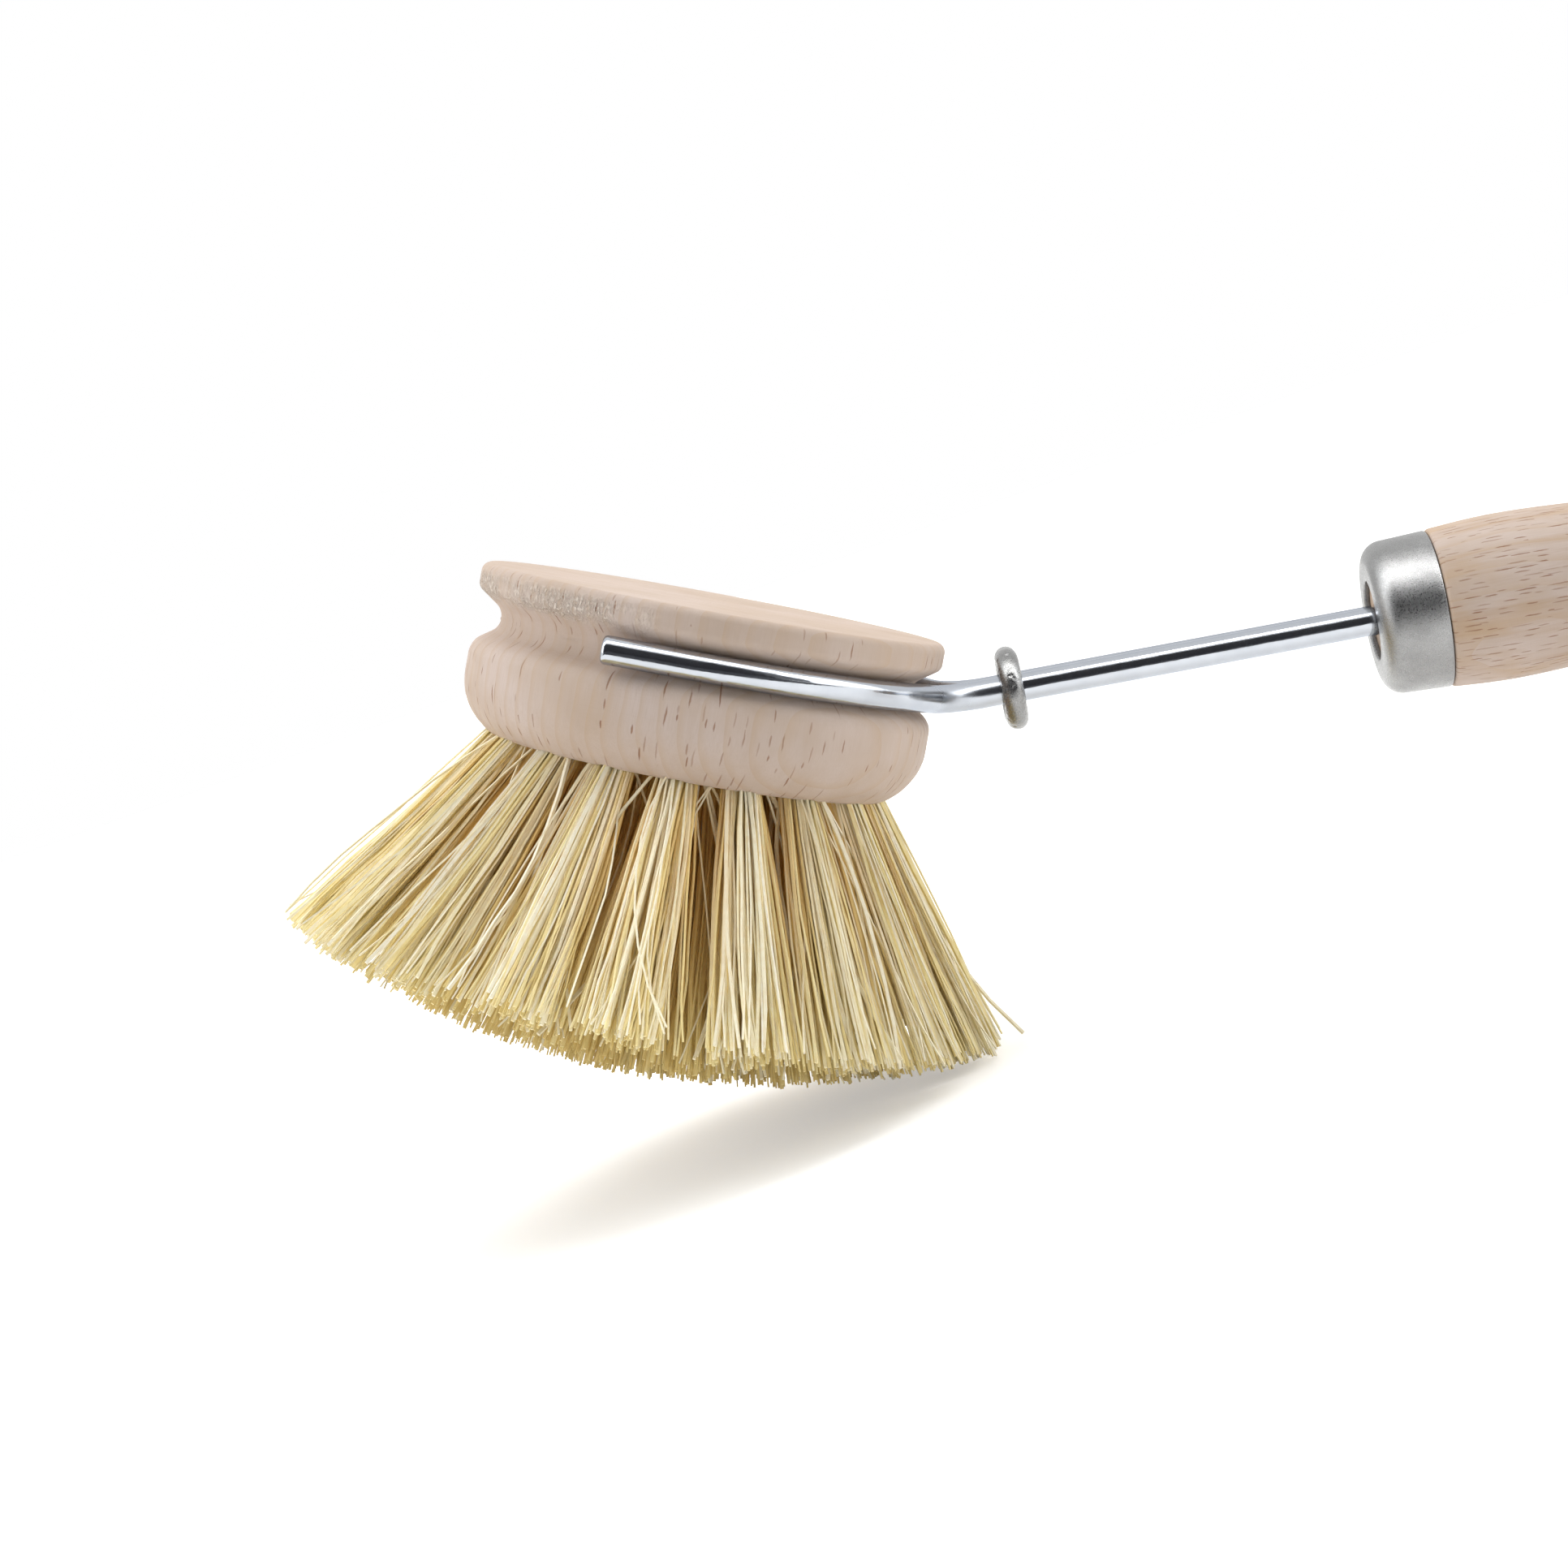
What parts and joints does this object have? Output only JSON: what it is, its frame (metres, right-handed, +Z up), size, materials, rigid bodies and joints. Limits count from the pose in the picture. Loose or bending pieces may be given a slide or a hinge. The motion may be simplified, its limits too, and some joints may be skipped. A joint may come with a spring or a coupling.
{
  "type": "dish brush",
  "caption": "Wooden dish brush with a turned, replaceable fibre head held in the groove by a sprung wire fork, a sliding lock ring and a capped turned handle.",
  "frame": {"origin": "middle of the brush's outline on the surface it is put down on, resting on the rim of its tufts and the end of its handle", "axes": "+X along the brush from the head to the handle's end, +Z up, fork arms left and right along +Y and -Y"},
  "size_m": [0.2646, 0.0812, 0.0678],
  "materials": {
    "head_wood": "turned, untreated",
    "handle_wood": "turned, sanded",
    "plated_wire": "bright plated",
    "ring_metal": "dull",
    "ferrule_metal": "satin",
    "anchor_wire": "flat wire",
    "plant_fibre": "stiff fibre"
  },
  "bodies": {
    "handle": {"handle": "handle_wood", "ferrule": "ferrule_metal", "left_wire_root": "plated_wire", "right_wire_root": "plated_wire"},
    "left_arm": {"left_fork_arm": "plated_wire"},
    "right_arm": {"right_fork_arm": "plated_wire"},
    "lock_ring": {"lock_ring": "ring_metal"},
    "head": {"head_block": "head_wood", "outer_tuft_anchors": "anchor_wire", "outer_tuft_01": "plant_fibre", "outer_tuft_02": "plant_fibre", "outer_tuft_03": "plant_fibre", "outer_tuft_04": "plant_fibre", "outer_tuft_05": "plant_fibre", "outer_tuft_06": "plant_fibre", "outer_tuft_07": "plant_fibre", "outer_tuft_08": "plant_fibre", "outer_tuft_09": "plant_fibre", "outer_tuft_10": "plant_fibre", "outer_tuft_11": "plant_fibre", "outer_tuft_12": "plant_fibre", "outer_tuft_13": "plant_fibre", "outer_tuft_14": "plant_fibre", "outer_tuft_15": "plant_fibre", "outer_tuft_16": "plant_fibre", "outer_tuft_17": "plant_fibre", "outer_tuft_18": "plant_fibre", "middle_tuft_anchors": "anchor_wire", "middle_tuft_01": "plant_fibre", "middle_tuft_02": "plant_fibre", "middle_tuft_03": "plant_fibre", "middle_tuft_04": "plant_fibre", "middle_tuft_05": "plant_fibre", "middle_tuft_06": "plant_fibre", "middle_tuft_07": "plant_fibre", "middle_tuft_08": "plant_fibre", "middle_tuft_09": "plant_fibre", "middle_tuft_10": "plant_fibre", "middle_tuft_11": "plant_fibre", "middle_tuft_12": "plant_fibre", "inner_tuft_anchors": "anchor_wire", "inner_tuft_01": "plant_fibre", "inner_tuft_02": "plant_fibre", "inner_tuft_03": "plant_fibre", "inner_tuft_04": "plant_fibre", "inner_tuft_05": "plant_fibre", "inner_tuft_06": "plant_fibre", "centre_tuft_anchors": "anchor_wire", "centre_tuft_01": "plant_fibre"}
  },
  "joints": [
    {"name": "ring_slide", "type": "slide", "parent": "handle", "child": "lock_ring", "axis": [0.987, 0, -0.1607], "range_m": [0, 0.037]},
    {"name": "left_arm_spread", "type": "hinge", "parent": "handle", "child": "left_arm", "pos_m": [-0.01129, 0.00162, 0.02973], "axis": [-0.1607, 0, -0.987], "range_deg": [0, 2.2]},
    {"name": "right_arm_spread", "type": "hinge", "parent": "handle", "child": "right_arm", "pos_m": [-0.01129, -0.00162, 0.02973], "axis": [0.1607, 0, 0.987], "range_deg": [0, 2.2]},
    {"name": "head_spin", "type": "hinge", "parent": "handle", "child": "head", "pos_m": [-0.08006, 0, 0.05054], "axis": [0.5037, 0, 0.8639], "continuous": true}
  ],
  "couplings": [
    {"joint": "left_arm_spread", "follows": "ring_slide", "rad_per_m": 1.0377},
    {"joint": "right_arm_spread", "follows": "ring_slide", "rad_per_m": 1.0377}
  ]
}
